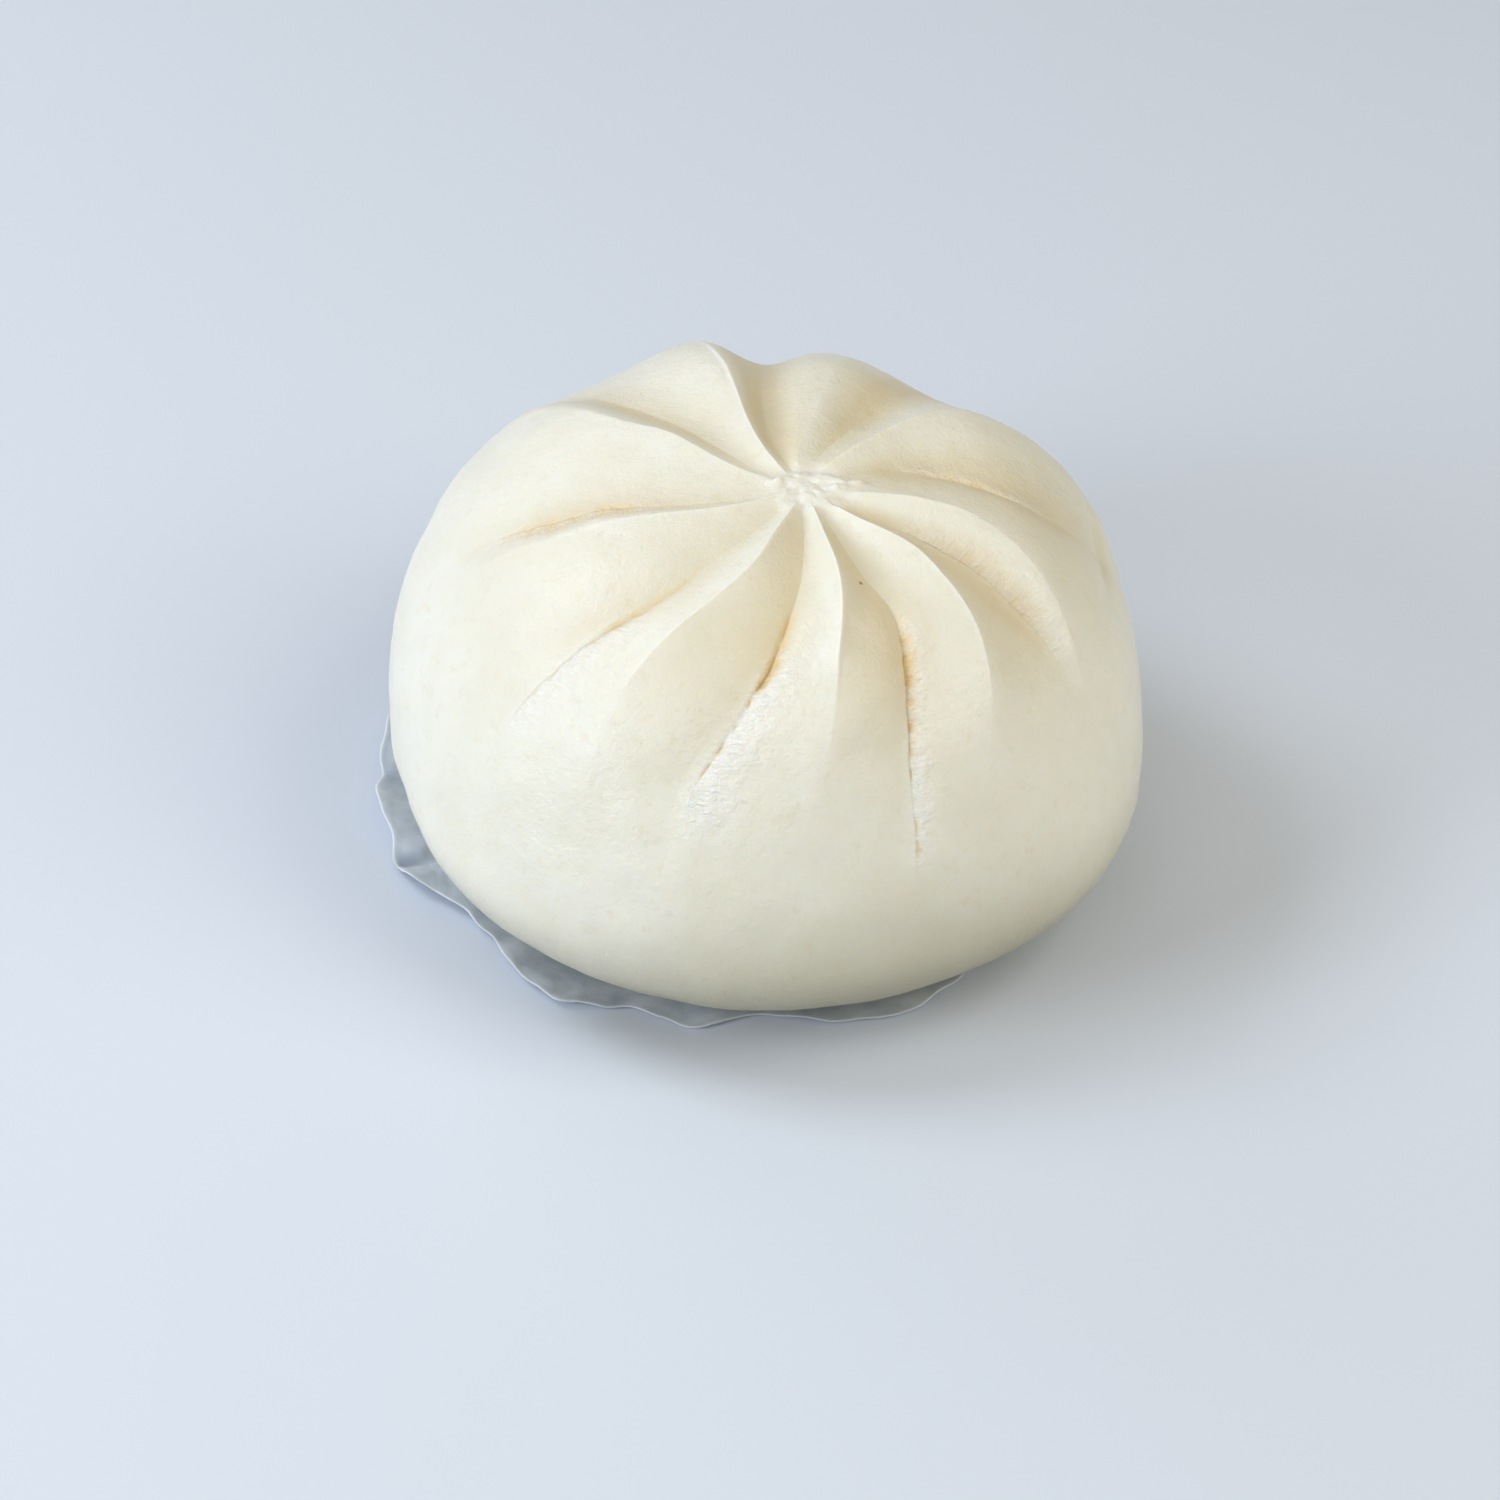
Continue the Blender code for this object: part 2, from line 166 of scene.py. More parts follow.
def profile(angle):
    upper = angle < math.pi / 2
    power = np.where(upper, CROWN_POWER, UNDER_POWER)
    across = np.abs(np.sin(angle)) ** (2.0 / power)
    up = np.abs(np.cos(angle)) ** (2.0 / power)
    return BELLY_RADIUS * across, np.where(upper, BELLY_HEIGHT + (CROWN_HEIGHT - BELLY_HEIGHT) * up, BELLY_HEIGHT - UNDER_DEPTH * up)


def half_profile():
    angle = np.linspace(0.0, math.pi, 8001)
    radius, height = profile(angle)
    distance = np.concatenate([[0.0], np.cumsum(np.hypot(np.diff(radius), np.diff(height)))])
    kept = (height > 0.0) | (angle < math.pi / 2)
    return distance[kept], angle[kept]


DISTANCES, ANGLES = half_profile()
FOOT_DISTANCE = float(DISTANCES[-1])


def dome(s, bearing):
    angle = np.interp(s, DISTANCES, ANGLES)
    radius, height = profile(angle)
    turn = np.radians(bearing)
    share = np.clip(height / CROWN_HEIGHT, 0.0, 1.0)
    lean = share * share
    bulge = 6.75 * share * share * (1.0 - share)
    radius = radius * (1.0 + OVAL[0] * np.cos(2.0 * (turn - math.radians(OVAL[1]))) + TRILOBE[0] * np.cos(3.0 * (turn - math.radians(TRILOBE[1]))))
    x = radius * np.cos(turn) + CROWN_LEAN[0] * lean + MID_LEAN[0] * bulge
    y = radius * np.sin(turn) + CROWN_LEAN[1] * lean + MID_LEAN[1] * bulge
    return np.stack([x, y, height], axis=-1)


def outward(s, bearing):
    down = dome(s + 0.2, bearing) - dome(np.maximum(s - 0.2, 0.0), bearing)
    along = dome(s, bearing + 0.5) - dome(s, bearing - 0.5)
    normal = np.cross(down, along)
    return normal / np.linalg.norm(normal, axis=-1, keepdims=True)


# ------------------------------------------------------------------ the dough's skin

TOTAL_COLUMNS = 616


def crease_line(index, s):
    """Bearing of a crease, with the small wander of a real cut line."""
    pleat = PLEATS[index]
    line = curve_through(STATIONS, pleat["crease"], s)
    start, end, depth, width = pleat["cut"]
    wander = 0.16 * np.sin(s / 2.6 + 1.7 * index) + 0.10 * np.sin(s / 1.17 + 2.9 * index)
    reach = np.maximum(np.interp(s, DISTANCES, profile(ANGLES)[0]), 4.0)
    return line + np.degrees(wander * min(2.2 * depth, 1.1) * window(s, start + 4, pleat["pits"][1], 4, 5) / reach)


def crest_line(index, s):
    return curve_through(STATIONS, PLEATS[index]["crest"], s)


def fold_height(pleat, s):
    rise = np.clip((s - GATHER_START) / (GATHER_FULL - GATHER_START), 0.0, 1.0) ** 0.6
    return pleat["height"] * rise * (1.0 - smooth(s, *pleat["fade"]))


def dough_skin():
    """The bun's skin as rings by columns: points mm, and masks for the painted shade in its cuts, valleys and low band,
    its rough skin, the painted highlight on its lips, and its knot.
    """
    rings = np.concatenate([np.arange(0.35, 6.0, 0.40), np.arange(6.0, 92.0, 0.68), np.arange(92.0, FOOT_DISTANCE - 1.2, 2.6), [FOOT_DISTANCE - 0.5, FOOT_DISTANCE]])
    s = rings[:, None]
    count = len(PLEATS)
    creases = [crease_line(i, s) for i in range(count)] + [crease_line(0, s) + 360.0]
    crests = [crest_line(i, s) for i in range(count)]
    widths = []
    for i in range(count):
        widths += [np.mean(crests[i] - creases[i]) + 9.0, np.mean(creases[i + 1] - crests[i]) + 6.0]
    steps = np.maximum(8, np.round(TOTAL_COLUMNS * np.array(widths) / sum(widths))).astype(int)
    reach = np.maximum(np.interp(s, DISTANCES, profile(ANGLES)[0]), 1.0)
    blocks = []
    for i in range(count):
        here, after = PLEATS[i], PLEATS[(i + 1) % count]
        high, low = fold_height(here, s), fold_height(after, s)
        below, below_after = (CREASE_SHARE + (p["share"] - CREASE_SHARE) * smooth(s, 18.0, 36.0) for p in (here, after))
        keen = 1.0 - smooth(s, *here["ridge"])
        vee_here, vee_after = smooth(s, here["vee"] - 7.0, here["vee"] + 6.0) * (1.0 - smooth(s, *here["heal"])), smooth(s, after["drop"] - 7.0, after["drop"] + 6.0) * (1.0 - smooth(s, *after["heal"]))
        for part in (0, 1):
            n = steps[2 * i + part]
            u = np.arange(n) / n
            t = (0.45 * u + 0.55 * 0.5 * (1.0 - np.cos(math.pi * u)))[None, :]
            bend, ease, stop = 3 * t**2 - 2 * t**3, t**3 - 2 * t**2 + t, t**3 - t**2
            if part == 0:
                bearing = creases[i] + t * (crests[i] - creases[i])
                span = np.radians(crests[i] - creases[i]) * reach
                d_crease, d_crest, d_next = t * span, (1.0 - t) * span, np.full_like(t * span, 99.0)
                shape = bend + (0.15 + 1.75 * vee_here) * ease + (0.25 + 1.35 * keen) * stop
                relief = high * (shape - below)
                # painted yellow shade in the valley by the crease, and painted shade on a sheltered face
                hollow_shade = here["valley_shade"] * (1.0 - smooth(t, 0.0, 0.75)) * np.clip(high / 2.0, 0.0, 1.0) * (1.0 - smooth(s, 34.0, 58.0)) + here["shade"][0] * window(s, 9.0, 44.0, 5.0, 12.0) * (1.0 - np.exp(-d_crest / 1.6))
            else:
                bearing = crests[i] + t * (creases[i + 1] - crests[i])
                span = np.radians(creases[i + 1] - crests[i]) * reach
                d_crease, d_crest, d_next = np.full_like(t * span, 99.0), t * span, (1.0 - t) * span
                size = high + (low - high) * smooth(t, 0.0, 1.0)
                shape = 1.0 - (bend + (0.25 + 1.35 * keen) * ease + (0.15 + 1.55 * vee_after) * stop)
                relief = size * (shape - (below + (below_after - below) * smooth(t, 0.0, 1.0)))
                # painted yellow shade toward the next crease, and painted shade on a sheltered panel
                hollow_shade = after["valley_shade"] * np.exp(-((d_next / 4.0) ** 1.5)) * np.clip(low / 2.0, 0.0, 1.0) * (1.0 - smooth(s, 34.0, 58.0)) + here["shade"][1] * window(s, 9.0, 46.0, 5.0, 14.0) * (1.0 - np.exp(-d_crest / 1.2))
            # the pinched crest: a thin lip that drops off on the far side, and a fainter stretch line beside it
            sharpness = window(s, 8.0, 42.0, 5.0, 10.0) * here["lip"]
            if part == 0:
                relief = relief + sharpness * (0.5 * np.exp(-((d_crest / 0.8) ** 1.3)) + 0.30 * window(s, 24.0, 48.0, 6.0, 6.0) * np.exp(-(((d_crest - 1.5) / 0.30) ** 2)))
            else:
                relief = relief + sharpness * (0.5 * np.exp(-((d_crest / 0.22) ** 1.5)) - (1.0 - np.exp(-((d_crest / 0.35) ** 1.5))) * np.exp(-d_crest / 2.4))
            # this mask is a painted highlight along the crest's edge
            lip = window(s, 7.0, 42.0, 4.0, 10.0) * min(here["lip"] * 5.0, 1.0) * np.exp(-((d_crest / 0.26) ** 2))
            # the cut at the bottom of each crease, steep under the panel and ragged up the face
            cut, cut_shade, rough, across = np.zeros_like(relief), np.zeros_like(relief), np.zeros_like(relief), np.minimum(d_crease, d_next)
            grit = noise(dome(np.broadcast_to(s, bearing.shape), bearing), 1.1, 41)
            for pleat, d, wide in ((here, d_crease, 1.3), (after, d_next, 0.5)):
                start, end, depth, width = pleat["cut"]
                on = window(s, start, end, 4.0, 5.0)
                pit_start, pit_end, pitted, pit_width = pleat["pits"]
                stretch = window(s, pit_start, pit_end, 4.0, 4.0) * pitted
                broken = np.clip(0.45 + 0.9 * np.sin(s / 1.55 + 2.0 * start) * np.sin(s / 0.9 + end) + 0.4 * grit, 0.0, 1.0)
                half = width * wide * (0.35 + 0.65 * on)
                apart = np.maximum(d + (0.45 if wide > 1.0 else 0.12) * grit * np.minimum(d / 0.3, 1.0), 0.0)
                cut = cut + (depth * on * (1.0 + 0.4 * grit) + 0.30 * stretch * broken) * np.exp(-((apart / half) ** 2.0))
                # painted yellow-brown shade down in the cut and over the torn skin beside it
                cut_shade = cut_shade + pleat["cut_shade_amount"] * (on * (0.62 + 0.50 * broken) + 0.80 * stretch * broken) * np.exp(-((apart / (1.1 * half)) ** 2.4))
                near = pit_width if wide > 1.0 else 0.3 * pit_width
                rough = rough + stretch * np.exp(-((d / (near * (1.0 + 0.25 * grit))) ** 2.2)) * (1.0 if wide > 1.0 else 0.5)
            relief = relief - cut
            blocks.append((bearing, relief, cut_shade, rough, hollow_shade, lip, across))
    bearing, relief, cut_shade, rough, hollow_shade, lip, across = (np.concatenate([b[j] for b in blocks], axis=1) for j in range(7))
    s = np.broadcast_to(s, bearing.shape)

    flat = dome(s, bearing)
    normal = outward(s, bearing)
    reach = np.broadcast_to(reach, bearing.shape)

    # the gathered knot at the tip: a little sunk and lumpy, with a small nub at its left that carries a painted
    # highlight, and a flap at its right
    tip_x, tip_y = s * np.cos(np.radians(bearing)), s * np.sin(np.radians(bearing))
    relief = relief - BUTTON_SINK * (1.0 - smooth(s, BUTTON_RADIUS * 0.3, BUTTON_RADIUS * 1.3))
    knot = 1.0 - smooth(np.hypot((tip_x - 0.9) / 1.3, tip_y + 1.4), 3.8, 6.2)
    disc = 1.0 - smooth(np.hypot((tip_x - 0.9) / 1.35, tip_y + 1.7), 3.5, 5.6)
    relief = relief * (1.0 - 0.85 * disc) + disc * (0.15 + 0.34 * noise(flat, 2.0, 11) + 0.22 * noise(flat, 0.9, 12))
    for nub_x, nub_y, size, rise in ((-4.4, -0.4, 1.1, 1.0), (-2.8, 0.8, 0.9, 0.4), (4.6, -1.0, 1.5, 0.9), (7.6, 0.3, 1.1, 1.0), (2.6, -2.4, 1.0, 0.5), (0.2, 1.6, 1.3, 0.4), (-1.4, -2.4, 1.1, 0.4)):
        bead = np.exp(-(((tip_x - nub_x) / size) ** 2 + ((tip_y - nub_y) / (0.75 * size)) ** 2))
        bead = bead * (0.75 + 0.55 * noise(flat, 0.8, 13))
        # the nubs take the crest's painted highlight too
        relief, lip = relief + rise * bead, lip + 0.7 * rise * bead**2
    relief = relief - 0.6 * np.exp(-(((tip_x - 4.0) / 1.9) ** 2 + ((tip_y + 0.4) / 0.5) ** 2))

    # stretched rough skin beside the cuts, the ledge and dents, and the whole skin's soft unevenness
    relief = relief + rough * (0.14 * noise(flat, 2.0, 21) + 0.08 * noise(flat, 1.1, 22) + 0.16)
    place, turn, depth, half_down, half_aside = LEDGE
    aside = np.radians((bearing - turn + 180.0) % 360.0 - 180.0) * reach
    relief = relief - depth * np.exp(-(((s - place) / half_down) ** 2 + (aside / half_aside) ** 2))
    for place, turn, depth, size in DENTS:
        aside = np.radians((bearing - turn + 180.0) % 360.0 - 180.0) * reach
        relief = relief - depth * np.exp(-(((s - place) / size) ** 2 + (aside / size) ** 2))
    body = smooth(s, 4.0, 12.0) * (1.0 - smooth(s, 104.0, 116.0))
    relief = relief + body * (0.28 * noise(flat, 14.0, 31) + 0.15 * noise(flat, 6.0, 32) + 0.06 * noise(flat, 2.6, 33) + 0.025 * noise(flat, 1.4, 34))

    points = flat + normal * relief[..., None]
    points[-1, :, 2] = 0.0
    # the low band is painted shade: darker and yellower toward the foot, reaching highest at the right front
    masks = {"cut": cut_shade, "rough": rough, "hollow_shade": hollow_shade, "lip": lip, "knot": knot, "underside_shade": 1.0 - smooth(flat[..., 2] / (22.0 + 16.0 * np.exp(-((((bearing + 245.0) % 360.0 - 180.0) / 50.0) ** 2))), 0.06, 1.0), "across": across / 20.0, "along": s / 200.0}
    return points, {name: np.clip(values, 0.0, 1.0) for name, values in masks.items()}


def closed_skin(name, points, top, bottom, masks):
    """A closed mesh from rings by columns with a point at each end, and float masks on its vertices."""
    rings, columns, _ = points.shape
    flat = points.reshape(-1, 3)
    coords = np.concatenate([flat, [top], [bottom]]) * 0.001 + FOOT
    j = np.arange(columns)
    k = (j + 1) % columns
    i = np.arange(rings - 1)[:, None] * columns
    quads = np.stack([i + j, i + columns + j, i + columns + k, i + k], axis=-1).reshape(-1, 4)
    tip, foot = rings * columns, rings * columns + 1
    fans = np.concatenate([np.stack([np.full(columns, tip), j, k], axis=-1), np.stack([np.full(columns, foot), (rings - 1) * columns + k, (rings - 1) * columns + j], axis=-1)])
    mesh = bpy.data.meshes.new(name)
    mesh.vertices.add(len(coords))
    mesh.vertices.foreach_set("co", coords.astype(np.float32).ravel())
    loops = np.concatenate([quads.ravel(), fans.ravel()])
    starts = np.concatenate([np.arange(len(quads)) * 4, len(quads) * 4 + np.arange(len(fans)) * 3])
    mesh.loops.add(len(loops))
    mesh.loops.foreach_set("vertex_index", loops.astype(np.int32))
    mesh.polygons.add(len(starts))
    mesh.polygons.foreach_set("loop_start", starts.astype(np.int32))
    mesh.update(calc_edges=True)
    mesh.validate()
    mesh.shade_smooth()
    for mask, values in masks.items():
        layer = mesh.attributes.new(mask, "FLOAT", "POINT")
        layer.data.foreach_set("value", np.concatenate([values.ravel(), [values[0].mean()], [0.0]]).astype(np.float32))
    obj = bpy.data.objects.new(name, mesh)
    bpy.context.scene.collection.objects.link(obj)
    return obj


# ------------------------------------------------------------------ materials


class Nodes:
    """Shorthand for building one material's node tree."""

    def __init__(self, name):
        self.material = bpy.data.materials.new(name)
        self.material.use_nodes = True
        self.tree = self.material.node_tree
        self.tree.nodes.clear()

    def add(self, kind, inputs=(), **settings):
        node = self.tree.nodes.new(kind)
        for key, value in settings.items():
            setattr(node, key, value)
        for socket, value in dict(inputs).items():
            target = node.inputs[socket]
            if isinstance(value, bpy.types.NodeSocket):
                self.tree.links.new(value, target)
            else:
                target.default_value = value
        return node

    def ramp(self, source, stops):
        node = self.add("ShaderNodeValToRGB", {0: source})
        elements = node.color_ramp.elements
        for index, (place, colour) in enumerate(stops):
            element = elements[index] if index < 2 else elements.new(place)
            element.position = place
            element.color = (*colour, 1.0)
        return node.outputs[0]

    def math(self, operation, a, b=0.0):
        return self.add("ShaderNodeMath", {0: a, 1: b}, operation=operation).outputs[0]

    def mix(self, factor, a, b):
        node = self.add("ShaderNodeMix", data_type="RGBA")
        for socket, value in ((0, factor), (6, a), (7, b)):
            if isinstance(value, bpy.types.NodeSocket):
                self.tree.links.new(value, node.inputs[socket])
            else:
                node.inputs[socket].default_value = (*value, 1.0) if isinstance(value, tuple) else value
        return node.outputs[2]


def dough_material(fleck):
    n = Nodes("steamed_dough")
    where = n.add("ShaderNodeNewGeometry").outputs["Position"]
    cut, rough, hollow_shade, lip, knot = (n.add("ShaderNodeAttribute", attribute_name=name).outputs["Fac"] for name in ("cut", "rough", "hollow_shade", "lip", "knot"))
    underside_shade = n.add("ShaderNodeAttribute", attribute_name="underside_shade").outputs["Fac"]
    across, along = (n.add("ShaderNodeAttribute", attribute_name=name).outputs["Fac"] for name in ("across", "along"))
    weave = n.add("ShaderNodeCombineXYZ", {0: n.math("MULTIPLY", across, 7.0), 1: n.math("MULTIPLY", along, 200.0)}).outputs[0]
    fibre = n.add("ShaderNodeTexNoise", {"Vector": weave, "Scale": 1.5, "Detail": 3.0, "Roughness": 0.6, "Distortion": 0.5}).outputs[0]
    cloud = n.add("ShaderNodeTexNoise", {"Vector": where, "Scale": 90.0, "Detail": 4.0, "Roughness": 0.55}).outputs[0]
    mottle = n.add("ShaderNodeTexNoise", {"Vector": where, "Scale": 420.0, "Detail": 3.0, "Roughness": 0.6}).outputs[0]
    peel = n.add("ShaderNodeTexNoise", {"Vector": where, "Scale": 850.0, "Detail": 3.0, "Roughness": 0.6, "Distortion": 0.6}).outputs[0]
    grain = n.add("ShaderNodeTexNoise", {"Vector": where, "Scale": 2400.0, "Detail": 3.0, "Roughness": 0.65}).outputs[0]
    base = n.ramp(cloud, ((0.30, (0.815, 0.790, 0.655)), (0.70, (0.855, 0.840, 0.730))))
    speck = n.ramp(mottle, ((0.30, (0.0, 0.0, 0.0)), (0.42, (1.0, 1.0, 1.0))))
    colour = n.mix(speck, (0.815, 0.780, 0.640), base)
    # painted shade: the valleys and the sheltered faces and panels are darker and yellower
    colour = n.mix(n.math("MULTIPLY", hollow_shade, 0.80), colour, (0.700, 0.595, 0.370))
    # the torn skin beside the cuts is paler: partly its own colour, partly a painted highlight
    streak = n.ramp(fibre, ((0.36, (0.0, 0.0, 0.0)), (0.60, (1.0, 1.0, 1.0))))
    torn_pale_and_highlight = n.math("MULTIPLY", rough, n.math("ADD", n.math("MULTIPLY", streak, 0.45), 0.50))
    colour = n.mix(torn_pale_and_highlight, colour, (0.955, 0.942, 0.875))
    # painted highlight: the crest lips and the knot's nubs are lighter
    colour = n.mix(n.math("MULTIPLY", lip, 0.55), colour, (0.920, 0.910, 0.860))
    # painted shade: the cuts and the torn skin beside them are darker and yellow-brown
    colour = n.mix(n.math("MULTIPLY", cut, 0.95), colour, (0.830, 0.630, 0.320))
    # painted shade: the skin is darker and yellower low down toward the foot
    colour = n.mix(n.math("MULTIPLY", underside_shade, 0.94), colour, (0.250, 0.217, 0.108))
    colour = n.mix(n.math("MULTIPLY", knot, 0.45), colour, (0.860, 0.845, 0.770))
    apart = n.add("ShaderNodeVectorMath", {0: where, 1: fleck}, operation="DISTANCE").outputs["Value"]
    dot = n.ramp(n.math("MULTIPLY", apart, 1000.0), ((0.16, (1.0, 1.0, 1.0)), (0.42, (0.0, 0.0, 0.0))))
    colour = n.mix(dot, colour, (0.330, 0.200, 0.100))
    pores = n.add("ShaderNodeTexVoronoi", {"Vector": where, "Scale": 620.0, "Randomness": 1.0}).outputs["Distance"]
    pit = n.ramp(pores, ((0.06, (0.0, 0.0, 0.0)), (0.26, (1.0, 1.0, 1.0))))
    height = n.math("ADD", n.math("MULTIPLY", grain, 0.06), n.math("MULTIPLY", mottle, 0.09))
    height = n.math("ADD", height, n.math("MULTIPLY", peel, n.math("ADD", n.math("MULTIPLY", rough, 0.16), 0.15)))
    height = n.math("ADD", height, n.math("MULTIPLY", fibre, n.math("MULTIPLY", rough, 0.50)))
    height = n.math("ADD", height, n.math("MULTIPLY", pit, n.math("ADD", n.math("MULTIPLY", rough, 0.10), 0.030)))
    height = n.math("ADD", height, n.math("MULTIPLY", grain, n.math("MULTIPLY", rough, 0.16)))
    bump = n.add("ShaderNodeBump", {"Strength": 1.0, "Distance": 0.001, "Height": height}).outputs[0]
    gloss = n.math("ADD", n.math("MULTIPLY", cloud, 0.16), n.math("SUBTRACT", 0.25, n.math("MULTIPLY", rough, 0.12)))
    shader = n.add(
        "ShaderNodeBsdfPrincipled",
        {
            "Base Color": colour,
            "Roughness": gloss,
            "Normal": bump,
            "IOR": 1.42,
            "Subsurface Weight": 0.40,
            "Subsurface Radius": (1.0, 0.72, 0.42),
            "Subsurface Scale": 0.0015,
        },
    )
    n.add("ShaderNodeOutputMaterial", {"Surface": shader.outputs[0]})
    return n.material


def paper_material():
    n = Nodes("waxed_paper")
    where = n.add("ShaderNodeNewGeometry").outputs["Position"]
    fibre = n.add("ShaderNodeTexNoise", {"Vector": where, "Scale": 160.0, "Detail": 5.0, "Roughness": 0.55, "Distortion": 0.9}).outputs[0]
    cloud = n.add("ShaderNodeTexNoise", {"Vector": where, "Scale": 70.0, "Detail": 3.0, "Roughness": 0.5, "Distortion": 0.8}).outputs[0]
    fine = n.add("ShaderNodeTexNoise", {"Vector": where, "Scale": 1900.0, "Detail": 2.0}).outputs[0]
    tone = n.math("ADD", n.math("MULTIPLY", fibre, 0.6), n.math("MULTIPLY", cloud, 0.4))
    colour = n.ramp(tone, ((0.34, (0.44, 0.51, 0.59)), (0.62, (0.68, 0.74, 0.80))))
    fold, rim = (n.add("ShaderNodeAttribute", attribute_name=name).outputs["Fac"] for name in ("fold", "rim"))
    # painted shade: the paper is darker in the hollows of its folds
    colour = n.mix(n.math("MULTIPLY", fold, 0.92), colour, (0.150, 0.200, 0.260))
    # painted highlight: a lighter line along the paper's rim
    colour = n.mix(n.math("MULTIPLY", rim, 0.70), colour, (0.800, 0.830, 0.860))
    height = n.math("ADD", n.math("MULTIPLY", fibre, 0.6), n.math("MULTIPLY", fine, 0.25))
    bump = n.add("ShaderNodeBump", {"Strength": 0.6, "Distance": 0.0002, "Height": height}).outputs[0]
    shader = n.add("ShaderNodeBsdfPrincipled", {"Base Color": colour, "Roughness": n.math("ADD", n.math("MULTIPLY", fibre, 0.2), 0.24), "Normal": bump, "IOR": 1.45, "Transmission Weight": 0.0})
    n.add("ShaderNodeOutputMaterial", {"Surface": shader.outputs[0]})
    return n.material


def floor_material():
    n = Nodes("pale_floor")
    shader = n.add("ShaderNodeBsdfPrincipled", {"Base Color": (0.68, 0.735, 0.81, 1.0), "Roughness": 0.6})
    n.add("ShaderNodeOutputMaterial", {"Surface": shader.outputs[0]})
    return n.material


# ------------------------------------------------------------------ paper liner
PAPER_CENTRE = np.array([-5.5, 9.0])
# The liner's uneven edge: bearing about its own middle and radius mm, joined by a smooth closed curve.
PAPER_EDGE = (
    (-60, 53.6), (-40, 51.5), (-18, 49.5), (5, 50.5), (28, 49.0), (52, 50.5), (78, 49.0), (102, 50.5), (126, 50.0), (148, 52.0),
    (168, 53.4), (177, 52.4), (184, 52.6), (196, 51.1), (203, 51.8), (212, 48.0), (222, 46.5), (228, 47.6), (233, 49.4), (244, 51.4), (250, 50.0),
    (256, 48.0), (261, 49.4), (266, 50.2), (271, 49.6), (276, 47.6), (288, 50.7),
)
# Soft folds that run out to the edge: bearing, height mm (below 0 a hollow), half width in degrees on each side.
PAPER_FOLDS = (
    (170, 0.9, 5, 9), (179, -0.8, 3, 3), (188, 1.0, 6, 8), (200, -1.3, 6, 2.5), (206, 1.2, 3, 9), (226, -0.9, 4, 3), (233, 0.7, 3, 6), (247, 1.0, 6, 3),
    (253, -0.9, 3, 3), (259, 0.8, 2, 3), (265, -0.6, 2, 2), (270, 1.0, 2, 3), (277, -0.9, 3, 3), (284, 0.6, 3, 5), (300, -0.7, 6, 4), (318, 0.8, 8, 6),
    (340, -0.7, 6, 6), (8, 0.9, 8, 5), (30, -0.8, 5, 7), (55, 0.8, 7, 7), (80, -0.9, 6, 6), (104, 0.8, 7, 6), (128, -0.6, 6, 6), (148, 0.8, 7, 7),
)
PAPER_THICKNESS = 0.12


def paper_edge(bearing):
    knots, radii = (np.array(column, float) for column in zip(*PAPER_EDGE))
    knots = np.concatenate([knots - 360.0, knots, knots + 360.0])
    radii = np.concatenate([radii, radii, radii])
    slopes = np.gradient(radii, knots)
    i = np.clip(np.searchsorted(knots, bearing, side="right") - 1, 0, len(knots) - 2)
    span = knots[i + 1] - knots[i]
    t = (bearing - knots[i]) / span
    return (2 * t**3 - 3 * t**2 + 1) * radii[i] + (t**3 - 2 * t**2 + t) * span * slopes[i] + (3 * t**2 - 2 * t**3) * radii[i + 1] + (t**3 - t**2) * span * slopes[i + 1]


def paper_sheet():
    bearing = np.arange(900) * 360.0 / 900
    turn = np.radians(bearing)
    edge = paper_edge(bearing) + 0.22 * np.cos(31.0 * turn) + 0.15 * np.cos(47.0 * turn + 1.0)
    shares = np.concatenate([np.linspace(0.06, 0.62, 8), np.linspace(0.66, 1.0, 44)])[:, None]
    x = PAPER_CENTRE[0] + shares * edge * np.cos(turn)
    y = PAPER_CENTRE[1] + shares * edge * np.sin(turn)
    out = np.clip((np.hypot(x, y) - 33.0) / 24.0, 0.0, 1.3)
    flat = np.stack([x, y, np.zeros_like(x)], axis=-1)
    folds = np.zeros_like(x)
    for place, rise, before, after in PAPER_FOLDS:
        off = (bearing - place + 180.0) % 360.0 - 180.0 + 2.0 * (shares - 0.85) * math.sin(place)
        folds = folds + rise * np.exp(-np.abs(off / np.where(off < 0.0, before, after)) ** 1.5)
    z = out**1.5 * (2.6 + 1.25 * folds) + out * (0.55 * noise(flat, 7.0, 51) + 0.30 * noise(flat, 3.0, 52) + 0.10 * noise(flat, 1.4, 53))
    z = np.maximum(z, 0.0) * smooth(np.hypot(x, y), 30.0, 38.0)
    # this mask is painted shade in the hollows between the paper's folds
    fold = np.clip(-folds - 0.25, 0.0, 1.0) * np.clip(out, 0.0, 1.0) * (0.75 + 0.45 * noise(flat, 4.0, 54))
    # this mask is a painted highlight along the paper's outer edge
    rim = smooth(shares, 0.985, 0.998) + 0.0 * x
    return np.stack([x, y, z], axis=-1), np.clip(fold, 0.0, 1.0), rim


def build_paper():
    sheet, fold, rim = paper_sheet()
    lower = sheet + np.array([0.0, 0.0, -0.8])
    upper = lower + np.array([0.0, 0.0, PAPER_THICKNESS])
    rings = np.concatenate([upper, lower[::-1]])
    top = [PAPER_CENTRE[0], PAPER_CENTRE[1], -0.8 + PAPER_THICKNESS]
    bottom = [PAPER_CENTRE[0], PAPER_CENTRE[1], -0.8]
    masks = {"fold": np.concatenate([fold, fold[::-1]]), "rim": np.concatenate([rim, rim[::-1]])}
    return closed_skin("paper_sheet", rings, top, bottom, masks)


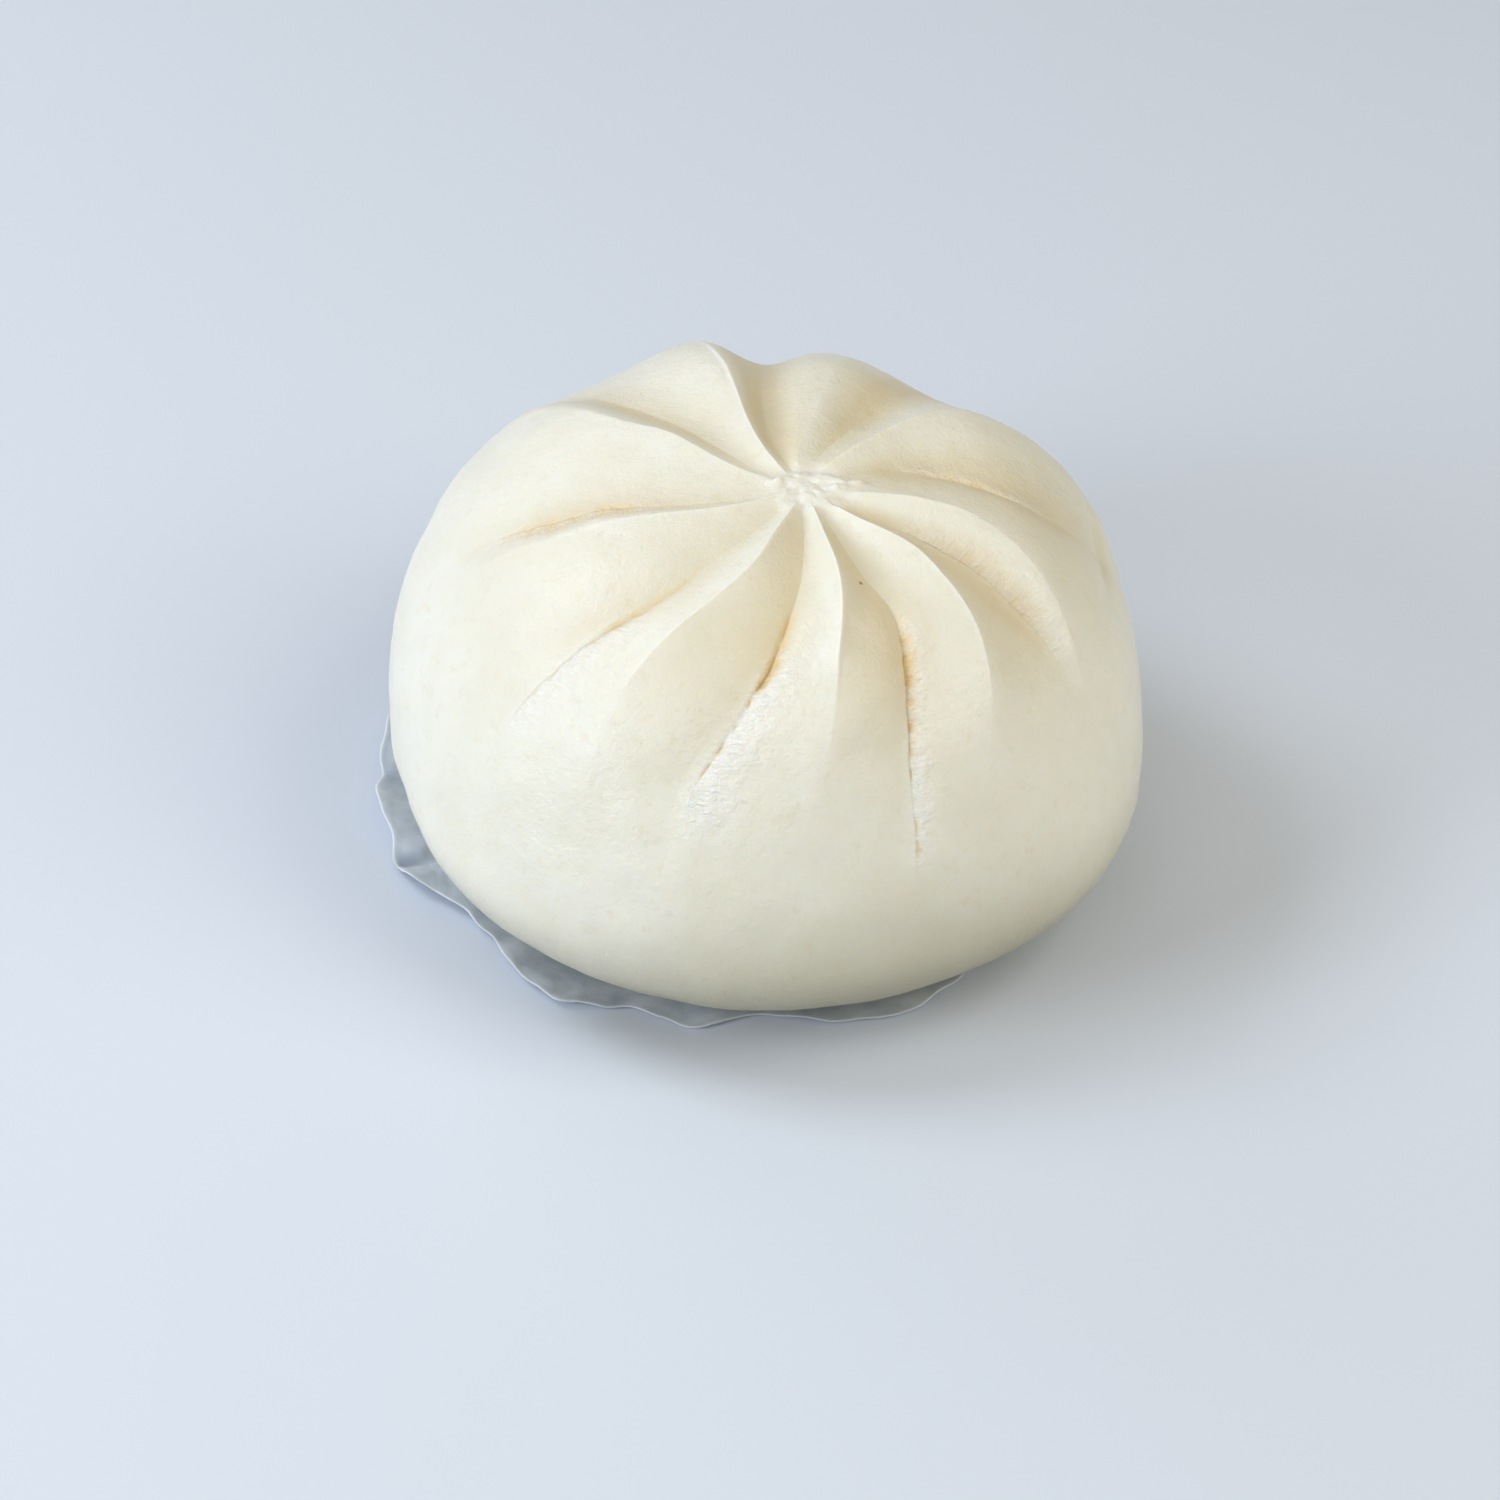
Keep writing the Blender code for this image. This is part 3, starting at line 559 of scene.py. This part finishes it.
# ------------------------------------------------------------------ build the object
points, masks = dough_skin()
tip = dome(np.array([0.0]), np.array([0.0]))[0]
tip[2] = points[0, :, 2].mean()
bun = closed_skin("bun_dough", points, tip, points[-1].mean(axis=0), masks)
skin_points = points.reshape(-1, 3)
fleck = skin_points[np.argmin(np.linalg.norm(skin_points - dome(np.array([FLECK[0]]), np.array([FLECK[1]]))[0], axis=1))] * 0.001 + FOOT
fleck = tuple(float(v) for v in fleck)
bun.data.materials.append(dough_material(fleck))
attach(bun, "root")
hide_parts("bun")

paper = build_paper()
paper.data.materials.append(paper_material())
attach(paper, "root")
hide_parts("paper_liner")

# ------------------------------------------------------------------ floor, light, camera
bpy.ops.mesh.primitive_plane_add(size=6.0, location=(0.0, 0.0, float(cad_low[2]) - 0.0002))
floor = bpy.context.active_object
floor.name = "floor"
floor.data.materials.append(floor_material())

scene = bpy.context.scene
world = bpy.data.worlds.new("soft_room")
world.use_nodes = True
world.node_tree.nodes["Background"].inputs["Color"].default_value = (1.08, 1.0, 0.84, 1.0)
world.node_tree.nodes["Background"].inputs["Strength"].default_value = 0.19
scene.world = world


def area_light(name, azimuth, elevation, distance, size, power, colour):
    """A square soft light that looks at the bun from a bearing (degrees from +X, anticlockwise) and a height."""
    data = bpy.data.lights.new(name, "AREA")
    data.shape = "SQUARE"
    data.size = size
    data.energy = power
    data.color = colour
    light = bpy.data.objects.new(name, data)
    turn, rise = math.radians(azimuth), math.radians(elevation)
    place = Vector((math.cos(turn) * math.cos(rise), math.sin(turn) * math.cos(rise), math.sin(rise))) * distance
    light.location = place + Vector((0.0, 0.0, 0.03))
    light.rotation_euler = place.to_track_quat("Z", "Y").to_euler()
    scene.collection.objects.link(light)
    return light


area_light("window_left", -150.0, 25.0, 1.1, 0.45, 4.9, (0.93, 1.0, 1.12))
area_light("window_high", 168.0, 50.0, 1.1, 0.45, 4.1, (0.93, 1.0, 1.14))
area_light("room_right", -20.0, 50.0, 1.1, 0.7, 4.0, (1.04, 1.0, 0.92))
area_light("wall_right", -20.0, 20.0, 1.1, 0.7, 1.6, (1.04, 1.0, 0.90))
area_light("wall_back", 125.0, 22.0, 1.1, 0.7, 1.6, (1.0, 1.0, 1.05))
area_light("room_front", -100.0, 45.0, 1.1, 0.7, 1.5, (1.0, 1.0, 1.0))

ELEVATION, DISTANCE, ROLL, FIELD = 40.0, 0.689, 1.8, 18.0
target = Vector(FOOT) + Vector((-0.0013, -0.0145, 0.03))
rise = math.radians(ELEVATION)
back = Vector((0.0, -math.cos(rise), math.sin(rise)))
right, up = Vector((1.0, 0.0, 0.0)), Vector((0.0, math.sin(rise), math.cos(rise)))
roll = math.radians(ROLL)
right_r, up_r = right * math.cos(roll) + up * math.sin(roll), -right * math.sin(roll) + up * math.cos(roll)
camera_data = bpy.data.cameras.new("camera")
camera_data.sensor_width = 36.0
camera_data.lens = 18.0 / math.tan(math.radians(FIELD) / 2.0)
camera_data.dof.use_dof = False
camera_data.clip_start = 0.01
camera = bpy.data.objects.new("camera", camera_data)
camera.matrix_world = Matrix((right_r, up_r, back)).transposed().to_4x4()
camera.location = target + back * DISTANCE
scene.collection.objects.link(camera)
scene.camera = camera

scene.view_settings.view_transform = "Standard"
scene.view_settings.look = "None"
